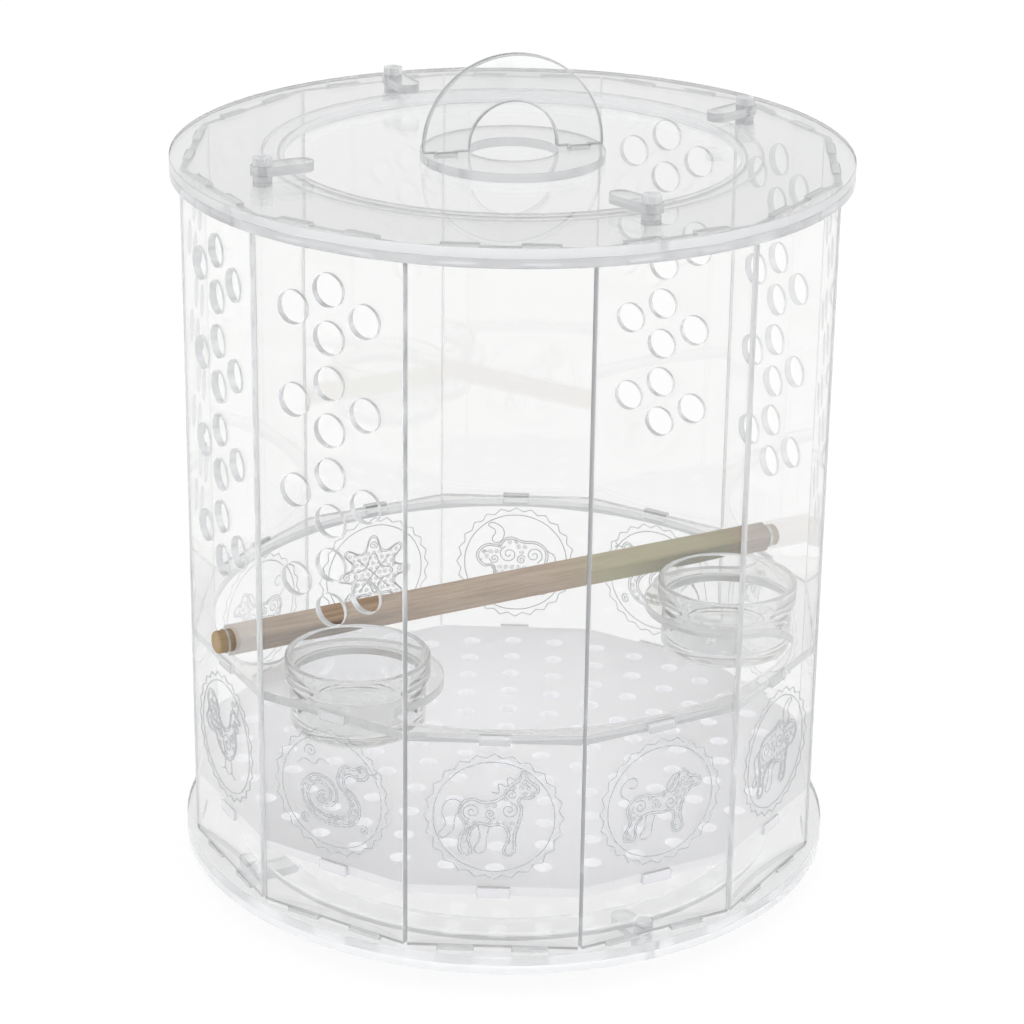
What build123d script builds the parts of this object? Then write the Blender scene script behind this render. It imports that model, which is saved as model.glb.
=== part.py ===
from build123d import *
from math import asin, cos, degrees, pi, radians, sin, tan
import os

# A round acrylic bird cage. Twelve flat panels stand in a ring between a doubled bottom and a doubled
# top. A shelf with two glass bowls and a wooden perch crosses it low down, over a pierced floor.
# Millimetres. Z is up, Z = 0 is the surface that the cage stands on, and the first panel faces -Y.
# Azimuths are degrees from +X, counterclockwise seen from above.

# Driving dimensions
plate_radius = 175.0        # outside of the four round plates
sheet = 5.0                 # thickness of every cut sheet except the walls
wall_sheet = 4.0            # thickness of a wall panel
side_count = 12             # wall panels round the cage
wall_corner_radius = 171.5  # where the outer faces of two neighbouring panels would meet
wall_height = 361.5         # between the two slotted rings
foot_nut_height = 4.0       # the nuts of the bottom latches are the feet
latch_spacer_height = 3.0
slot_clearance = 0.15       # on every side of a tab in its slot

# Openings in the doubled top and bottom
top_slot_opening = 120.0
top_cover_opening = 128.2
bottom_slot_opening = 133.0
bottom_cover_opening = 145.0
lid_gap = 0.6               # round the lid and the bottom cover

# Lid and handle
lid_rim_inner_radius = 117.0
handle_outer_radius = 47.6
handle_inner_radius = 22.8
handle_straight = 2.0       # straight foot under the half ring
handle_azimuth = 17.0
handle_tab_width = 11.0

# Wall panels
wall_tab_width = 18.0
wall_tab_offset = 19.0
vent_radius = 9.0
vent_sides = 12             # drawn with flats, which keeps the many vents light
vent_rows = 4
vent_row_pitch = 47.0
vent_top_row = 327.0        # above the bottom of the wall
vent_offset_up = 12.0
vent_offset_side = 20.7

# Shelf and floor, heights above the bottom of the wall
shelf_height = 118.2        # its top face
shelf_inner_radius = 155.5
shelf_tab_width = 15.0
floor_height = 33.5         # its top face
floor_tab_width = 16.0
floor_hole_radius = 4.9
floor_hole_sides = 6        # drawn with flats, as the vents are
floor_ring_pitch = 23.6
floor_ring_count = 6
inside_clearance = 0.3      # between the shelf or floor and the walls

# Perch
perch_azimuth = 30.0
perch_side = 12.3           # across the flats of the square stick
perch_turn = 23.0           # the stick is turned about its own axis
perch_edge_radius = 1.5
perch_shoulder_radius = 161.2
perch_tenon_radius = 6.0
perch_tip_radius = 170.5
perch_hole_radius = 6.4
perch_gap = 3.0             # between the shelf and the stick

# Bowls
bowl_centre_radius = 119.0
bowl_perch_distance = 45.2  # from the bowl's centre to the perch's centre line
bowl_rim_radius = 37.0
bowl_body_radius = 34.6
bowl_foot_radius = 30.0
bowl_foot_bevel = 4.6       # height of the slope between foot and body
bowl_wall = 3.0
bowl_base = 5.0
bowl_rim_height = 12.0
bowl_inner_step = 2.0       # height over the shelf of the step inside the bowl
bowl_height = 39.5
bowl_hole_radius = 35.2
bowl_ear_radius = 44.0
ear_fillet_radius = 12.0

# Latches
top_latch_radius = 139.5
bottom_latch_radius = 151.5
latch_azimuths = (-150.0, -60.0, 30.0, 120.0)
latch_turns = (-2.0, 13.0, 16.0, -3.0)     # how far each stands turned from pointing at the axis
latch_width = 12.0
latch_reach = 21.0          # from the screw to the centre of the rounded tip
latch_play = 0.1            # above and below the paddle
screw_radius = 2.0
screw_hole_radius = 2.06    # in the paddles, which turn on the screws
screw_hole_sides = 12       # the holes of what doesn't turn are drawn with flats
screw_head_across = 8.0     # across the flats of the six-sided head, let in to the slotted ring
screw_head_clearance = 0.1  # round the head
spacer_radius = 5.0
nut_across_flats = 9.0

# Derived heights
latch_stack = foot_nut_height + sheet + latch_spacer_height
bottom_cover_z = latch_stack
bottom_slot_z = bottom_cover_z + sheet
wall_z = bottom_slot_z + sheet
top_slot_z = wall_z + wall_height
top_cover_z = top_slot_z + sheet
top_z = top_cover_z + sheet
shelf_top_z = wall_z + shelf_height
floor_top_z = wall_z + floor_height

# Derived plan dimensions
half_side_angle = pi / side_count
side_angle = 360.0 / side_count
wall_outer_apothem = wall_corner_radius * cos(half_side_angle)
wall_inner_apothem = wall_outer_apothem - wall_sheet
wall_width = 2 * wall_inner_apothem * tan(half_side_angle) - 0.2
inside_apothem = wall_inner_apothem - inside_clearance
perch_section_drop = (perch_side / 2) * (cos(radians(perch_turn)) + sin(radians(perch_turn))) \
    - perch_edge_radius * (cos(radians(perch_turn)) + sin(radians(perch_turn)) - 1)
perch_z = shelf_top_z + perch_gap + perch_section_drop
bowl_swing = degrees(asin(bowl_perch_distance / bowl_centre_radius))
bowl_azimuths = {"bowl_left": perch_azimuth - 180 + bowl_swing, "bowl_right": perch_azimuth - bowl_swing}

# Panels that are pierced by vents, and those that also hold the perch
perch_azimuths = (perch_azimuth, perch_azimuth - 180)
vent_azimuths = [end + step * side_angle for end in perch_azimuths for step in (-1, 0, 1)]


def same_azimuth(first: float, second: float) -> bool:
    """True when two azimuths point the same way."""
    return abs((first - second + 180) % 360 - 180) < 0.01


def polar(radius: float, azimuth: float) -> tuple:
    """X and Y of a point given by its radius and azimuth."""
    return (radius * cos(radians(azimuth)), radius * sin(radians(azimuth)))


def plate(outline: Sketch, bottom: float, thickness: float = sheet) -> Part:
    """A flat plate cut to an outline, with its underside at the given height."""
    return extrude(Pos(0, 0, bottom) * outline, amount=thickness)


def panel_azimuths() -> list:
    """Azimuth of each wall panel's outward normal, from the front one round."""
    return [-90 + number * side_angle for number in range(side_count)]


def wall_panel(azimuth: float) -> Part:
    """One wall panel with its tabs, slots, vents and perch hole, standing in its place."""
    outline = Pos(0, wall_z + wall_height / 2) * Rectangle(wall_width, wall_height)
    for side in (-1, 1):
        x = side * wall_tab_offset
        outline += Pos(x, wall_z - sheet / 2) * Rectangle(wall_tab_width, sheet)
        outline += Pos(x, top_slot_z + sheet / 2) * Rectangle(wall_tab_width, sheet)
    for top, width in ((shelf_top_z, shelf_tab_width), (floor_top_z, floor_tab_width)):
        slot = Rectangle(width + 2 * slot_clearance, sheet + 2 * slot_clearance)
        outline -= Pos(0, top - sheet / 2) * slot
    if any(same_azimuth(azimuth, other) for other in vent_azimuths):
        outline -= vent_holes()
    if any(same_azimuth(azimuth, other) for other in perch_azimuths):
        outline -= Pos(0, perch_z) * Circle(perch_hole_radius)
    standing = Plane.XZ.offset(wall_inner_apothem) * outline
    return Rot(0, 0, azimuth + 90) * extrude(standing, amount=wall_sheet)


def vent_holes() -> Sketch:
    """Four clusters of four vents, drawn on a panel: X across it and Y up."""
    spots = ((0, vent_offset_up), (0, -vent_offset_up), (vent_offset_side, 0), (-vent_offset_side, 0))
    places = []
    for row in range(vent_rows):
        height = wall_z + vent_top_row - row * vent_row_pitch
        places += [(x, height + up) for x, up in spots]
    vent = RegularPolygon(vent_radius, vent_sides)
    return Sketch() + [Pos(x, y) * vent for x, y in places]


def screw_places(radius: float) -> list:
    """Places of the four latch screws on their circle."""
    return [Pos(*polar(radius, azimuth)) for azimuth in latch_azimuths]


def screw_hole() -> Sketch:
    """Clearance hole for a screw's shank in a plate, spacer or nut."""
    across = screw_hole_radius + 2 * (screw_hole_radius - screw_radius)
    return RegularPolygon(across, screw_hole_sides, major_radius=False)


def head_hole() -> Sketch:
    """Hole in a slotted ring for a screw's head."""
    across = screw_head_across / 2 + screw_head_clearance
    return RegularPolygon(across, 6, major_radius=False)


def ring(opening: float, bottom: float, screw_circle: float, slotted: bool) -> Part:
    """One of the four round plates. The slotted ones take the walls' tabs and the screws' heads."""
    outline = Circle(plate_radius) - Circle(opening)
    hole = head_hole() if slotted else screw_hole()
    outline -= [place * hole for place in screw_places(screw_circle)]
    if slotted:
        slot = Rectangle(wall_tab_width + 2 * slot_clearance, wall_sheet + 2 * slot_clearance)
        y = -(wall_inner_apothem + wall_outer_apothem) / 2
        pair = [Pos(side * wall_tab_offset, y) * slot for side in (-1, 1)]
        outline -= [Rot(0, 0, azimuth + 90) * one for azimuth in panel_azimuths() for one in pair]
    return plate(outline, bottom)


def tabbed_polygon(tab_width: float) -> Sketch:
    """Twelve-sided outline that fits inside the walls, with a tab out through each of them."""
    outline = RegularPolygon(inside_apothem, side_count, major_radius=False, rotation=side_angle / 2)
    reach = wall_outer_apothem - inside_apothem
    tab = Pos(0, -(inside_apothem + wall_outer_apothem) / 2) * Rectangle(tab_width, reach + 1)
    tab = Pos(0, 0.5) * tab
    return outline + [Rot(0, 0, azimuth + 90) * tab for azimuth in panel_azimuths()]


def shelf_ring() -> Part:
    """Slim ring with a tab in each panel and two round ears, each pierced for a bowl."""
    opening = Circle(shelf_inner_radius)
    centres = [Pos(*polar(bowl_centre_radius, azimuth)) for azimuth in bowl_azimuths.values()]
    opening -= [centre * Circle(bowl_ear_radius) for centre in centres]
    necks = [v for v in opening.vertices() if Vector(v.X, v.Y).length < shelf_inner_radius + 0.1]
    opening = fillet(necks, ear_fillet_radius)
    outline = tabbed_polygon(shelf_tab_width) - opening
    outline -= [centre * Circle(bowl_hole_radius) for centre in centres]
    return plate(outline, shelf_top_z - sheet)


def floor_grid() -> Part:
    """Floor plate pierced by rings of holes, six more in each ring than in the one inside it."""
    hole = RegularPolygon(floor_hole_radius, floor_hole_sides)
    holes = [hole]
    for number in range(1, floor_ring_count + 1):
        count = 6 * number
        for step in range(count):
            azimuth = 90 + 360 * step / count
            holes.append(Rot(0, 0, azimuth) * Pos(number * floor_ring_pitch, 0) * hole)
    return plate(tabbed_polygon(floor_tab_width) - holes, floor_top_z - sheet)


def lid_plate() -> Part:
    """Round plate of the lid, down in the slotted ring's opening."""
    slots = handle_tab_places(handle_slot())
    return plate(Circle(top_slot_opening - lid_gap) - slots, top_slot_z)


def lid_rim() -> Part:
    """Rim ring of the lid, which rests on the slotted ring and carries the lid's plate under it."""
    return plate(Circle(top_cover_opening - lid_gap) - Circle(lid_rim_inner_radius), top_cover_z)


def handle_slot() -> Sketch:
    """Slot for one tab of the handle's arch."""
    return Rectangle(handle_tab_width + 2 * slot_clearance, sheet + 2 * slot_clearance)


def handle_tab_places(shape: Sketch) -> list:
    """The shape at both tabs of the arch, turned to the handle's azimuth."""
    middle = (handle_outer_radius + handle_inner_radius) / 2
    return [Rot(0, 0, handle_azimuth) * Pos(side * middle, 0) * shape for side in (-1, 1)]


def handle_base() -> Part:
    """Flat ring under the arch."""
    outline = Circle(handle_outer_radius) - Circle(handle_inner_radius)
    return plate(outline - handle_tab_places(handle_slot()), top_cover_z)


def handle_arch() -> Part:
    """Half ring that the hand takes, with a tab at each foot down through the base and the lid."""
    foot_z = top_cover_z + sheet
    half_disc = Rectangle(2 * handle_outer_radius, handle_outer_radius, align=(Align.CENTER, Align.MIN))
    outline = Circle(handle_outer_radius) & half_disc
    outline = Pos(0, handle_straight) * outline
    outline += Rectangle(2 * handle_outer_radius, handle_straight, align=(Align.CENTER, Align.MIN))
    outline -= Pos(0, handle_straight) * Circle(handle_inner_radius)
    outline -= Rectangle(2 * handle_inner_radius, handle_straight, align=(Align.CENTER, Align.MIN))
    middle = (handle_outer_radius + handle_inner_radius) / 2
    for side in (-1, 1):
        outline += Pos(side * middle, -sheet) * Rectangle(handle_tab_width, 2 * sheet)
    standing = Plane.XZ.offset(-sheet / 2) * Pos(0, foot_z) * outline
    return Rot(0, 0, handle_azimuth) * extrude(standing, amount=sheet)


def bottom_cover() -> Part:
    """Round plate in the rebate under the cage, lying on the paddles of the bottom latches."""
    return plate(Circle(bottom_cover_opening - lid_gap), foot_nut_height + sheet)


def perch() -> Part:
    """Square stick with softened edges, lying across the shelf, with a turned tenon at each end."""
    section = fillet(Rectangle(perch_side, perch_side).vertices(), perch_edge_radius)
    across = Plane(origin=(0, 0, 0), x_dir=(0, 1, 0), z_dir=(1, 0, 0))
    stick = extrude(across * Rot(0, 0, perch_turn) * section, amount=perch_shoulder_radius, both=True)
    tenon = extrude(across * Circle(perch_tenon_radius), amount=perch_tip_radius, both=True)
    tips = tenon.edges().filter_by(GeomType.CIRCLE)
    whole = stick + chamfer(tips, 0.8)
    return Pos(0, 0, perch_z) * Rot(0, 0, perch_azimuth) * whole


def bowl(azimuth: float) -> Part:
    """Stepped glass bowl hanging by its rim band in an ear of the shelf."""
    bottom = bowl_rim_height - bowl_height
    outside = [
        (0, bottom),
        (bowl_foot_radius, bottom),
        (bowl_body_radius, bottom + bowl_foot_bevel),
        (bowl_body_radius, 0),
        (bowl_rim_radius, 0),
        (bowl_rim_radius, bowl_rim_height),
    ]
    inside = [
        (bowl_rim_radius - bowl_wall, bowl_rim_height),
        (bowl_rim_radius - bowl_wall, bowl_inner_step),
        (bowl_body_radius - bowl_wall, bowl_inner_step),
        (bowl_body_radius - bowl_wall, bottom + bowl_base),
        (0, bottom + bowl_base),
    ]
    profile = make_face(Plane.XZ * Polyline(*outside, *inside, close=True))
    x, y = polar(bowl_centre_radius, azimuth)
    return Pos(x, y, shelf_top_z) * revolve(profile, axis=Axis.Z)


def latch(azimuth: float, turn: float, screw_circle: float, bottom: float) -> Part:
    """Flat paddle with round ends, drilled at one end for its screw."""
    outline = SlotCenterToCenter(latch_reach, latch_width)
    outline = Pos(latch_reach / 2, 0) * outline - Circle(screw_hole_radius)
    paddle = extrude(outline, amount=sheet - 2 * latch_play)
    x, y = polar(screw_circle, azimuth)
    return Pos(x, y, bottom + latch_play) * Rot(0, 0, azimuth + 180 + turn) * paddle


def screws(screw_circle: float, head_z: float, tip_z: float) -> Part:
    """Four screws. The head fills its slotted ring from head_z on and the shank ends at tip_z."""
    up = 1 if tip_z > head_z else -1
    hexagon = RegularPolygon(screw_head_across / 2, 6, major_radius=False)
    head = extrude(Pos(0, 0, head_z) * hexagon, amount=up * sheet)
    shank = extrude(Pos(0, 0, head_z) * Circle(screw_radius), amount=tip_z - head_z)
    return Part() + [place * (head + shank) for place in screw_places(screw_circle)]


def spacers(screw_circle: float, bottom: float) -> Part:
    """Four round spacers that hold the paddles off the plate."""
    outline = RegularPolygon(spacer_radius, 2 * screw_hole_sides) - screw_hole()
    spacer = plate(outline, bottom, latch_spacer_height)
    return Part() + [place * spacer for place in screw_places(screw_circle)]


def nuts(screw_circle: float, bottom: float) -> Part:
    """Four six-sided nuts on the screws' ends."""
    outline = RegularPolygon(nut_across_flats / 2, 6, major_radius=False) - screw_hole()
    nut = plate(outline, bottom, foot_nut_height)
    return Part() + [place * nut for place in screw_places(screw_circle)]


def build_nodes() -> dict:
    """Every node of the cage by name."""
    nodes = {}
    for number, azimuth in enumerate(panel_azimuths(), start=1):
        nodes[f"wall_panel_{number:02d}"] = wall_panel(azimuth)
    nodes["top_slot_ring"] = ring(top_slot_opening, top_slot_z, top_latch_radius, True)
    nodes["top_cover_ring"] = ring(top_cover_opening, top_cover_z, top_latch_radius, False)
    nodes["bottom_slot_ring"] = ring(bottom_slot_opening, bottom_slot_z, bottom_latch_radius, True)
    nodes["bottom_cover_ring"] = ring(bottom_cover_opening, bottom_cover_z, bottom_latch_radius, False)
    nodes["bottom_cover"] = bottom_cover()
    nodes["lid_plate"] = lid_plate()
    nodes["lid_rim"] = lid_rim()
    nodes["handle_base"] = handle_base()
    nodes["handle_arch"] = handle_arch()
    nodes["shelf_ring"] = shelf_ring()
    nodes["floor_grid"] = floor_grid()
    nodes["perch"] = perch()
    for name, azimuth in bowl_azimuths.items():
        nodes[name] = bowl(azimuth)
    for number, (azimuth, turn) in enumerate(zip(latch_azimuths, latch_turns), start=1):
        top_paddle_z = top_z + latch_spacer_height
        nodes[f"top_latch_{number}"] = latch(azimuth, turn, top_latch_radius, top_paddle_z)
        nodes[f"bottom_latch_{number}"] = latch(azimuth, 0, bottom_latch_radius, foot_nut_height)
    nodes["top_latch_screws"] = screws(top_latch_radius, top_slot_z, top_z + latch_stack)
    nodes["top_latch_spacers"] = spacers(top_latch_radius, top_z)
    nodes["top_latch_nuts"] = nuts(top_latch_radius, top_z + latch_stack - foot_nut_height)
    nodes["bottom_latch_screws"] = screws(bottom_latch_radius, wall_z, 0.5)
    nodes["bottom_latch_spacers"] = spacers(bottom_latch_radius, foot_nut_height + sheet)
    nodes["bottom_latch_nuts"] = nuts(bottom_latch_radius, 0)
    return nodes


os.makedirs("parts", exist_ok=True)
for node_name, solid in build_nodes().items():
    export_step(solid, f"parts/{node_name}.step")
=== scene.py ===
import logging
import math
from dataclasses import dataclass, field
from enum import Enum
from itertools import product
from typing import Any, Iterable, Sequence

import bpy
from mathutils import Matrix, Vector


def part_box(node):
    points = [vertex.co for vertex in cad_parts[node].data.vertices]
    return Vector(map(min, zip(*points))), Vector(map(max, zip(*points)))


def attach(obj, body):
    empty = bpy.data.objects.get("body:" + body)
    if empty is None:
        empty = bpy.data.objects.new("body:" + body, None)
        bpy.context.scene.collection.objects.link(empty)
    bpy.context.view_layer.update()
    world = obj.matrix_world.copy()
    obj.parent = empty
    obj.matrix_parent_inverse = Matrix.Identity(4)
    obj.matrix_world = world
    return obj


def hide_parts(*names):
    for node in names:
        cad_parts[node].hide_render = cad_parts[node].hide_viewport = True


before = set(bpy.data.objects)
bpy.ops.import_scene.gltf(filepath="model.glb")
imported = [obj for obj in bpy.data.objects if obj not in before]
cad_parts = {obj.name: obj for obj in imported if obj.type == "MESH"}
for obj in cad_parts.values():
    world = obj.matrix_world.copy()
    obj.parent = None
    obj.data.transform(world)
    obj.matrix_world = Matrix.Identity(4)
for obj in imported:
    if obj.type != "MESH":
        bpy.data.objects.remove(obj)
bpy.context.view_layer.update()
log = logging.getLogger("bird_cage")

MM = 0.001
SIDE_ANGLE = 30.0
FLAT = 0.999

Point = tuple[float, float]
Loop = list[Point]


class Body(str, Enum):
    """Names of the moving bodies that several pieces share."""

    CAGE = "cage"
    LID = "lid"
    TRAY = "bottom_tray"


class Slot(str, Enum):
    """Material slots of the part's record."""

    ACRYLIC = "clear_acrylic"
    LATCH = "latch_acrylic"
    FROSTED = "frosted_acrylic"
    WOOD = "perch_wood"
    GLASS = "bowl_glass"


def polar(radius: float, azimuth: float) -> Point:
    """Returns X and Y of a point given by radius and azimuth in degrees."""
    return radius * math.cos(math.radians(azimuth)), radius * math.sin(math.radians(azimuth))


def arc(centre: Point, radius: float, start: float, end: float, steps: int) -> Loop:
    """Points along an arc.

    Args:
        centre: Centre of the arc.
        radius: Its radius.
        start: Azimuth of the first point in degrees.
        end: Azimuth of the last point in degrees, less than start for a clockwise arc.
        steps: Number of equal steps.

    Returns:
        The points, both ends included.
    """
    points = []
    for step in range(steps + 1):
        x, y = polar(radius, start + (end - start) * step / steps)
        points.append((centre[0] + x, centre[1] + y))
    return points


def circle(radius: float, centre: Point = (0.0, 0.0), steps: int = 48) -> Loop:
    """Returns the points of a full circle."""
    return arc(centre, radius, 0.0, 360.0, steps)[:-1]


def rectangle(width: float, height: float, centre: Point = (0.0, 0.0)) -> Loop:
    """Draws a rectangle.

    Args:
        width: Its size along X.
        height: Its size along Y.
        centre: Its centre.

    Returns:
        The four corners.
    """
    x, y = centre
    return [(x - width / 2, y - height / 2), (x + width / 2, y - height / 2),
            (x + width / 2, y + height / 2), (x - width / 2, y + height / 2)]


def turned(loop: Iterable[Point], azimuth: float) -> Loop:
    """Returns the loop turned about the origin by an angle in degrees."""
    cos, sin = math.cos(math.radians(azimuth)), math.sin(math.radians(azimuth))
    return [(x * cos - y * sin, x * sin + y * cos) for x, y in loop]


def among(azimuth: float, others: Iterable[float]) -> bool:
    """Returns whether an azimuth is one of several, whole turns apart or not."""
    return any(abs((azimuth - other + 180) % 360 - 180) < 1 for other in others)


def upright(azimuth: float) -> Matrix:
    """Returns the stand that turns a level drawing up to face an azimuth in degrees."""
    return Matrix.Rotation(math.radians(azimuth + 90), 4, "Z") @ Matrix.Rotation(math.radians(90), 4, "X")


class Wire:
    """A shader socket that can be used in Python arithmetic."""

    def __init__(self, shader: "Shader", socket: Any) -> None:
        """Keeps the socket and the shader that it belongs to."""
        self.shader = shader
        self.socket = socket

    def _math(self, operation: str, *values: Any) -> "Wire":
        """Adds a Math node and returns its result."""
        return self.shader.node("ShaderNodeMath", {"operation": operation}, dict(enumerate(values)))

    def __add__(self, other: Any) -> "Wire":
        """Returns the sum."""
        return self._math("ADD", self, other)

    __radd__ = __add__

    def __mul__(self, other: Any) -> "Wire":
        """Returns the product."""
        return self._math("MULTIPLY", self, other)

    __rmul__ = __mul__

    def __sub__(self, other: Any) -> "Wire":
        """Returns the difference."""
        return self._math("SUBTRACT", self, other)

    def __rsub__(self, other: Any) -> "Wire":
        """Returns the difference the other way round."""
        return self._math("SUBTRACT", other, self)

    def size(self) -> "Wire":
        """Returns the value without its sign."""
        return self._math("ABSOLUTE", self)

    def most(self, other: Any) -> "Wire":
        """Returns the larger of two values."""
        return self._math("MAXIMUM", self, other)

    def step(self, low: float, high: float) -> "Wire":
        """Returns 0 below low and 1 above high, smooth between."""
        values = {"Value": self, "From Min": low, "From Max": high}
        return self.shader.node("ShaderNodeMapRange", {"interpolation_type": "SMOOTHSTEP"}, values)


class Shader:
    """A node tree under construction."""

    def __init__(self, owner: Any) -> None:
        """Clears the node tree of a material or a world.

        Args:
            owner: The material or world.
        """
        owner.use_nodes = True
        self.tree = owner.node_tree
        self.tree.nodes.clear()

    def node(self, kind: str, settings: dict[str, Any], values: dict[Any, Any], output: Any = 0) -> Wire:
        """Adds a node.

        Args:
            kind: The node's type.
            settings: Properties of the node, set first.
            values: Numbers, colours or wires for its input sockets, by name or number.
            output: Name or number of the output to return.

        Returns:
            The chosen output.
        """
        made = self.tree.nodes.new(kind)
        for name, value in settings.items():
            setattr(made, name, value)
        for name, value in values.items():
            if isinstance(value, Wire):
                self.tree.links.new(value.socket, made.inputs[name])
            else:
                made.inputs[name].default_value = value
        return Wire(self, made.outputs[output])

    def place(self) -> Wire:
        """Returns the object coordinates."""
        return self.node("ShaderNodeTexCoord", {}, {}, "Object")

    def mapped(self, vector: Wire, turn: float = 0.0, scale: Sequence[float] = (1.0, 1.0, 1.0)) -> Wire:
        """Turns a vector about Z, then scales it.

        Args:
            vector: The vector.
            turn: Angle in degrees.
            scale: Scale along the turned axes.

        Returns:
            The new vector.
        """
        angles = (0.0, 0.0, math.radians(turn))
        spun = self.node("ShaderNodeMapping", {}, {"Vector": vector, "Rotation": angles})
        return self.node("ShaderNodeVectorMath", {"operation": "MULTIPLY"}, {0: spun, 1: tuple(scale)})

    def noise(self, vector: Wire, scale: float, detail: float = 3.0, roughness: float = 0.5) -> Wire:
        """Adds noise.

        Args:
            vector: Place that it is taken at.
            scale: How fine it is.
            detail: Number of finer layers in it.
            roughness: Share of the finer layers.

        Returns:
            The noise, from 0 to 1.
        """
        values = {"Vector": vector, "Scale": scale, "Detail": detail, "Roughness": roughness}
        return self.node("ShaderNodeTexNoise", {}, values)

    def blend(self, factor: Any, first: Any, second: Any) -> Wire:
        """Returns a colour between two colours."""
        return self.node("ShaderNodeMix", {"data_type": "RGBA"}, {0: factor, 6: first, 7: second}, 2)

    def bump(self, height: Wire, distance: float, strength: float = 1.0) -> Wire:
        """Returns a normal from a height in units of distance."""
        values = {"Height": height, "Distance": distance, "Strength": strength}
        return self.node("ShaderNodeBump", {}, values)

    def ray(self, output: str) -> Wire:
        """Returns what the light path says of the ray."""
        return self.node("ShaderNodeLightPath", {}, {}, output)

    def scattered(self) -> Wire:
        """Returns 1 for a ray that has left a matt surface."""
        return self.ray("Diffuse Depth").step(0.2, 0.8)

    def output(self, surface: Wire, kind: str = "ShaderNodeOutputMaterial") -> None:
        """Links a surface to a new output.

        Args:
            surface: The surface or background shader.
            kind: The output node's type.
        """
        made = self.tree.nodes.new(kind)
        self.tree.links.new(surface.socket, made.inputs["Surface"])


def colour(red: float, green: float, blue: float) -> tuple[float, float, float, float]:
    """Returns a colour with full alpha."""
    return red, green, blue, 1.0


# Colours of cut edges, each partly the frosted cut's own tone: grey is painted shade, pale and white are
# painted light.
GREY_EDGE = colour(0.86, 0.87, 0.885)
PALE_EDGE = colour(0.93, 0.935, 0.945)
WHITE_EDGE = colour(0.985, 0.99, 0.99)
LEVEL_FACE = colour(0.985, 0.988, 0.988)
ACRYLIC_IOR = 1.49


class Finish:
    """A material with one principled surface, which each kind of finish describes."""

    name: str

    def surface(self, shader: Shader, place: Wire) -> dict[str, Any]:
        """Adds the nodes that the surface needs.

        Args:
            shader: The material's node tree.
            place: The object coordinates.

        Returns:
            A number, a colour or a wire for each of the surface's sockets that isn't plain.
        """
        raise NotImplementedError

    def build(self) -> bpy.types.Material:
        """Makes the material.

        Returns:
            The material.
        """
        made = bpy.data.materials.new(self.name)
        shader = Shader(made)
        values = self.surface(shader, shader.place())
        shader.output(shader.node("ShaderNodeBsdfPrincipled", {}, values))
        return made


@dataclass(frozen=True)
class SheetAcrylic(Finish):
    """Clear acrylic sheet with polished faces and laser-cut edges.

    Args:
        name: Name of the material.
        azimuth: Azimuth of an upright sheet's normal, or None for a level sheet.
        face_tint: Colour that the polished faces give to light.
        edge_tint: Colour that the cut edges give to light.
        edge_roughness: Roughness of the cut edges.
        gloss: Weight of a glossy layer, which stands in for the bright room mirrored in upright sheets.
    """

    name: str
    azimuth: float | None = None
    face_tint: tuple = colour(0.956, 0.957, 0.953)
    edge_tint: tuple = colour(0.93, 0.94, 0.945)
    edge_roughness: float = 0.12
    gloss: float = 0.0

    def surface(self, shader: Shader, place: Wire) -> dict[str, Any]:
        """Lists what the surface's sockets get.

        Args:
            shader: The material's node tree.
            place: The object coordinates.

        Returns:
            Numbers, colours and wires by the sockets' names.
        """
        if self.azimuth is None:
            across = (0.0, 0.0, 1.0)
            grain = shader.mapped(place, 0.0, (1.0, 1.0, 0.03))
        else:
            across = (*polar(1.0, self.azimuth), 0.0)
            grain = shader.mapped(place, -self.azimuth, (0.03, 1.0, 1.0))
        normals = {0: shader.node("ShaderNodeNewGeometry", {}, {}, "True Normal"), 1: across}
        facing = shader.node("ShaderNodeVectorMath", {"operation": "DOT_PRODUCT"}, normals, "Value")
        edge = 1.0 - facing.size().step(0.25, 0.8)
        cut = shader.noise(grain, 900.0, 2.0)
        wear = shader.noise(place, 55.0, 4.0).step(0.45, 0.9)
        rough = edge * (self.edge_roughness * 0.6 + cut * self.edge_roughness) + wear * 0.006
        tint = shader.blend(edge * (0.55 + cut * 0.6), self.face_tint, self.edge_tint)
        height = edge * cut + shader.noise(place, 6.0, 1.0) * 0.05
        return {
            "Base Color": tint,
            "Roughness": rough,
            "Normal": shader.bump(height, 0.00004, 0.6),
            "Transmission Weight": 1.0,
            "IOR": ACRYLIC_IOR,
            "Coat Weight": self.gloss,
            "Coat Roughness": 0.0,
            "Coat IOR": 1.6,
        }


@dataclass(frozen=True)
class CutEdge(Finish):
    """The laser-cut edge of a sheet: it scatters some light, and a painted glow stands in for the light
    that the sheet carries to it.

    Args:
        name: Name of the material.
        tint: Its colour, partly the frosted cut's own tone and partly painted light and shade.
        pale: Its colour in the paler clouds.
        clear: Share of light that passes straight in.
        painted_glow: Strength of the painted glow, an emission that stands in for the light that the sheet
            carries to it.
    """

    name: str = "cut_edge"
    # Grey tint: partly the cut's own tone, partly painted shade.
    tint: tuple = colour(0.74, 0.75, 0.765)
    pale: tuple = colour(0.87, 0.88, 0.89)
    clear: float = 0.5
    painted_glow: float = 0.085

    def surface(self, shader: Shader, place: Wire) -> dict[str, Any]:
        """Lists what the surface's sockets get.

        Args:
            shader: The material's node tree.
            place: The object coordinates.

        Returns:
            Numbers, colours and wires by the sockets' names.
        """
        cut = shader.noise(place, 900.0, 2.0)
        return {
            "Base Color": shader.blend(shader.noise(place, 40.0, 3.0), self.tint, self.pale),
            "Roughness": 0.14 + cut * 0.12,
            "Normal": shader.bump(cut, 0.00004, 0.5),
            "Transmission Weight": self.clear,
            "IOR": ACRYLIC_IOR,
            # Painted glow: an emission that stands in for light carried through the sheet.
            "Emission Color": colour(0.98, 0.985, 1.0),
            "Emission Strength": self.painted_glow,
        }


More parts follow.
